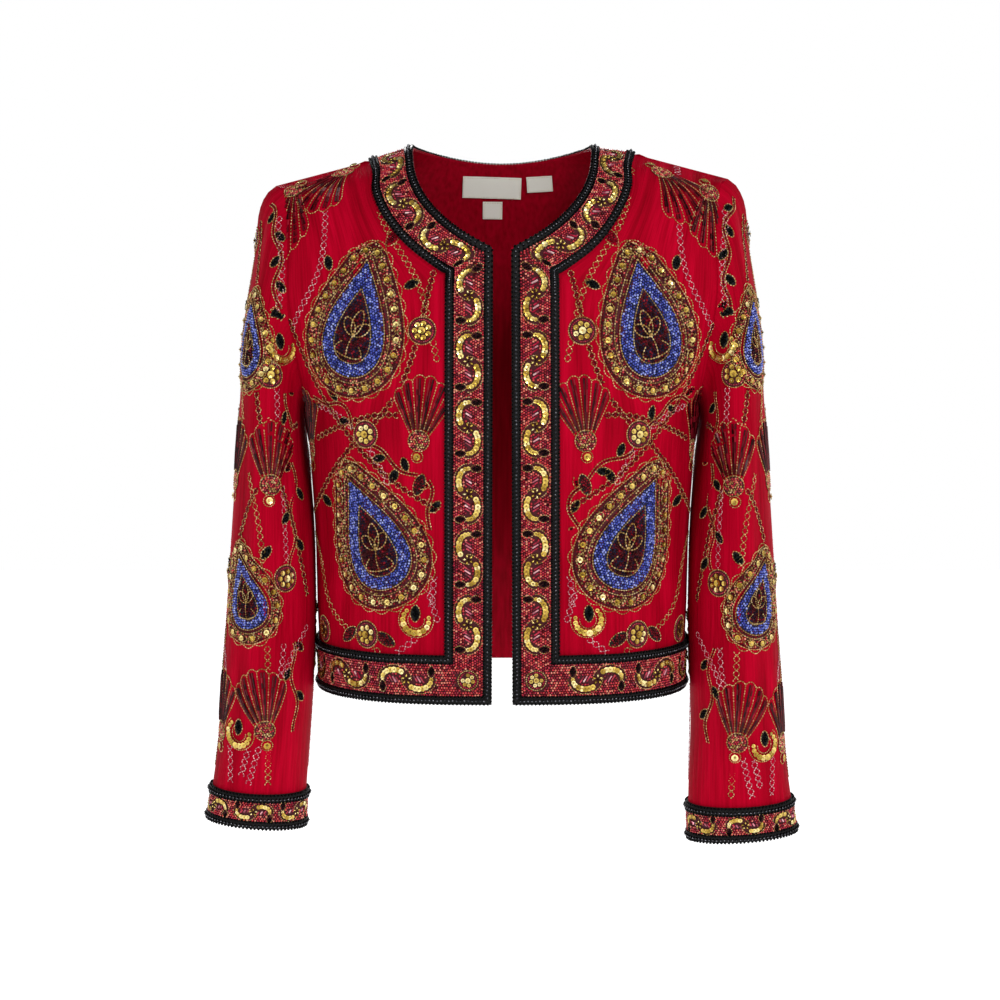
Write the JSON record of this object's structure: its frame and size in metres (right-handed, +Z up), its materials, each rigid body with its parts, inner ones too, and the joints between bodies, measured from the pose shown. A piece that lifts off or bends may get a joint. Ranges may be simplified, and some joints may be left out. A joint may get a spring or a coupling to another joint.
{
  "type": "beaded jacket",
  "caption": "Short collarless open-front jacket with long sleeves, beaded all over and banded round its edges, hollow as worn.",
  "frame": {"origin": "midway between the two high points of the shoulder seams, where the wearer's neck meets the shoulders", "axes": "+Z up, the front faces -Y, the wearer's left is +X"},
  "size_m": [0.5666, 0.2582, 0.6569],
  "materials": {
    "silk": "crinkled silk georgette, beaded and sequinned",
    "lining": "smooth plain lining with a soft sheen",
    "bead_field": "dense coral seed beads with gold sequins",
    "bead_edging": "padded rope of faceted black beads",
    "label_tape": "woven cream tape, bare"
  },
  "bodies": {
    "root": {"front_left": "silk", "front_right": "silk", "back": "silk", "sleeve_left": "silk", "sleeve_right": "silk", "lining_back": "lining", "border_front_left": "bead_field", "border_front_right": "bead_field", "border_back_neck": "bead_field", "border_back_hem": "bead_field", "border_cuff_left": "bead_field", "border_cuff_right": "bead_field", "edging_outer_front_left": "bead_edging", "edging_inner_front_left": "bead_edging", "edging_outer_front_right": "bead_edging", "edging_inner_front_right": "bead_edging", "edging_outer_back_hem": "bead_edging", "edging_inner_back_hem": "bead_edging", "edging_outer_back_neck": "bead_edging", "edging_inner_back_neck": "bead_edging", "edging_upper_cuff_left": "bead_edging", "edging_lower_cuff_left": "bead_edging", "edging_upper_cuff_right": "bead_edging", "edging_lower_cuff_right": "bead_edging", "label_main": "label_tape", "label_size": "label_tape", "label_care": "label_tape"}
  },
  "joints": []
}
